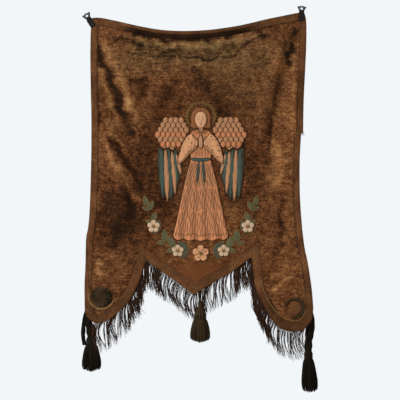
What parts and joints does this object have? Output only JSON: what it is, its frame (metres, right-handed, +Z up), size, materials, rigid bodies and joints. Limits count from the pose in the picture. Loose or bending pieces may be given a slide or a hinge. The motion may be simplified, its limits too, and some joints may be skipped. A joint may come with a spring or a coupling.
{
  "type": "church banner with hanging clips",
  "caption": "Old velvet church banner with an embroidered angel, fringe and tassels, hung from its top corners by clips.",
  "frame": {"origin": "midway between the nail holes of the two clips, in the plane of the cloth there", "axes": "+X to the viewer's right, +Y towards the wall behind the banner, +Z up"},
  "size_m": [0.807, 0.0581, 1.3137],
  "materials": {
    "velvet": "worn brown silk velvet, mottled",
    "galloon": "woven braid with fine lengthwise stripes",
    "dark_silk": "dark olive silk floss and cord",
    "bullion": "dark brown twisted fringe",
    "copper_silk": "long silk stitches over padding",
    "peach_silk": "peach silk with small sprigs",
    "skin_silk": "pale split stitch",
    "gold_thread": "dull gold couched thread",
    "leaf_silk": "olive satin stitch",
    "teal_silk": "teal satin stitch",
    "black_plastic": "black moulded plastic",
    "steel": "bright steel wire"
  },
  "bodies": {
    "root": {"branch_left": "leaf_silk", "branch_right": "leaf_silk", "clip_jaw_left": "black_plastic", "clip_jaw_right": "black_plastic", "clip_plate_left": "black_plastic", "clip_plate_right": "black_plastic", "clip_ring_left": "steel", "clip_ring_right": "steel", "face": "skin_silk", "flower_centre": "peach_silk", "flower_high_left": "skin_silk", "flower_high_right": "skin_silk", "flower_low_left": "skin_silk", "flower_low_right": "skin_silk", "fringe_left_lobe": "bullion", "fringe_point_left": "bullion", "fringe_point_right": "bullion", "fringe_right_lobe": "bullion", "gown": "copper_silk", "ground_panel": "velvet", "hair": "gold_thread", "hands": "skin_silk", "left_band": "galloon", "left_lobe_band": "galloon", "nimbus": "gold_thread", "point_band_left": "galloon", "point_band_right": "galloon", "right_band_lower": "galloon", "right_band_upper": "galloon", "right_lobe_band": "galloon", "sash": "teal_silk", "scroll_disc_left": "dark_silk", "scroll_disc_right": "galloon", "scroll_ring_left": "galloon", "scroll_ring_right": "dark_silk", "sleeve_left": "peach_silk", "sleeve_right": "peach_silk", "tassel_centre": "dark_silk", "tassel_cord_centre": "dark_silk", "tassel_cord_left": "dark_silk", "tassel_cord_right": "dark_silk", "tassel_left": "dark_silk", "tassel_loop_left": "dark_silk", "tassel_loop_right": "dark_silk", "tassel_right": "dark_silk", "top_band": "galloon", "wing_feathers_left": "teal_silk", "wing_feathers_right": "teal_silk", "wing_top_left": "peach_silk", "wing_top_right": "peach_silk"}
  },
  "joints": []
}
